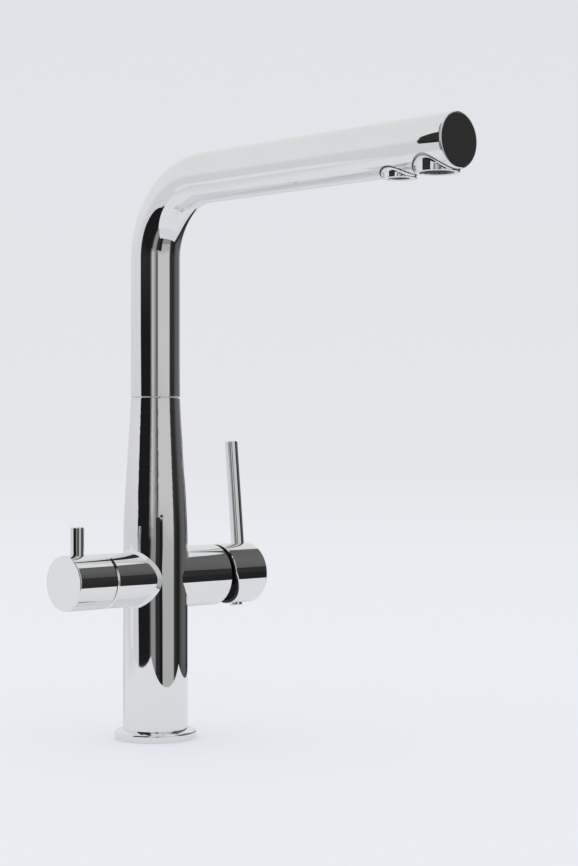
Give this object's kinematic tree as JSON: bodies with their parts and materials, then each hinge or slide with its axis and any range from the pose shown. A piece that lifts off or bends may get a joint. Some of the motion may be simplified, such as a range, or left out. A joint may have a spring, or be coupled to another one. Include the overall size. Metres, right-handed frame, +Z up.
{
  "type": "three way filtered water tap",
  "caption": "Deck-mounted kitchen tap with an L-shaped swivel spout, separate mixed and filtered water outlets under its end, a mixer lever and a filtered water handle.",
  "frame": {"origin": "centre of the base ring on the deck", "axes": "+Z up the column, -Y along the spout, +X to the mixer handle, -X to the filtered water handle"},
  "size_m": [0.1468, 0.2648, 0.3502],
  "materials": {
    "chrome": "polished",
    "brass": "machined",
    "steel": "satin",
    "rubber": "matte",
    "dark_plastic": "moulded",
    "white_plastic": "moulded",
    "ceramic": "lapped",
    "hose": "translucent"
  },
  "bodies": {
    "root": {"base_ring": "chrome", "base_seal": "rubber", "tap_body": "chrome", "inlet_manifold": "brass", "manifold_seals": "rubber", "manifold_snap_ring": "steel", "thrust_washer": "white_plastic", "spout_keeper_screw": "steel", "cartridge_base": "dark_plastic", "cartridge_port_seals": "rubber", "cartridge_fixed_disc": "ceramic", "cartridge_housing": "dark_plastic", "cartridge_nut": "brass", "filter_valve_body": "brass", "filter_seat_seal": "rubber", "filter_fixed_disc": "ceramic"},
    "spout": {"spout_tube": "chrome", "spout_end_cap": "chrome", "spout_spigot": "brass", "spigot_slip_rings": "white_plastic", "spigot_o_rings": "rubber", "filter_swivel_pipe": "brass", "filter_swivel_o_ring": "rubber", "filter_hose": "hose", "filter_hose_fitting": "brass", "main_outlet_rim": "chrome", "main_outlet_seal": "rubber", "main_flow_straightener": "dark_plastic", "filter_outlet_rim": "chrome", "filter_outlet_seal": "rubber", "filter_flow_straightener": "dark_plastic"},
    "mixer_turret": {"mixer_turret": "dark_plastic", "mixer_pivot_pin": "steel"},
    "mixer_handle": {"mixer_stem": "brass", "mixer_cap": "chrome", "mixer_lever": "chrome", "mixer_grub_screw": "steel", "mixer_index_plug": "chrome"},
    "mixer_disc": {"cartridge_disc_carrier": "dark_plastic", "cartridge_moving_disc": "ceramic"},
    "filter_handle": {"filter_spindle": "brass", "filter_spindle_o_ring": "rubber", "filter_moving_disc": "ceramic", "filter_handle": "chrome", "filter_lever": "chrome", "filter_grub_screw": "steel"}
  },
  "joints": [
    {"name": "spout_swivel", "type": "hinge", "parent": "root", "child": "spout", "pos_m": [0, 0, 0.206], "axis": [0, 0, 1], "continuous": true},
    {"name": "mixer_temperature", "type": "hinge", "parent": "root", "child": "mixer_turret", "pos_m": [0.0345, 0, 0.0967], "axis": [1, 0, 0], "range_deg": [-39.7, 50.3]},
    {"name": "mixer_flow", "type": "hinge", "parent": "mixer_turret", "child": "mixer_handle", "pos_m": [0.0345, 0, 0.0967], "axis": [0, 0.9957, -0.0924], "range_deg": [0, 22]},
    {"name": "mixer_disc_slide", "type": "slide", "parent": "mixer_turret", "child": "mixer_disc", "axis": [0, 0.0924, 0.9957], "range_m": [0, 0.00354]},
    {"name": "filter_flow", "type": "hinge", "parent": "root", "child": "filter_handle", "pos_m": [-0.042, 0, 0.0967], "axis": [1, 0, 0], "range_deg": [0, 90]}
  ],
  "couplings": [
    {"joint": "mixer_disc_slide", "follows": "mixer_flow", "m_per_rad": 0.0092}
  ]
}
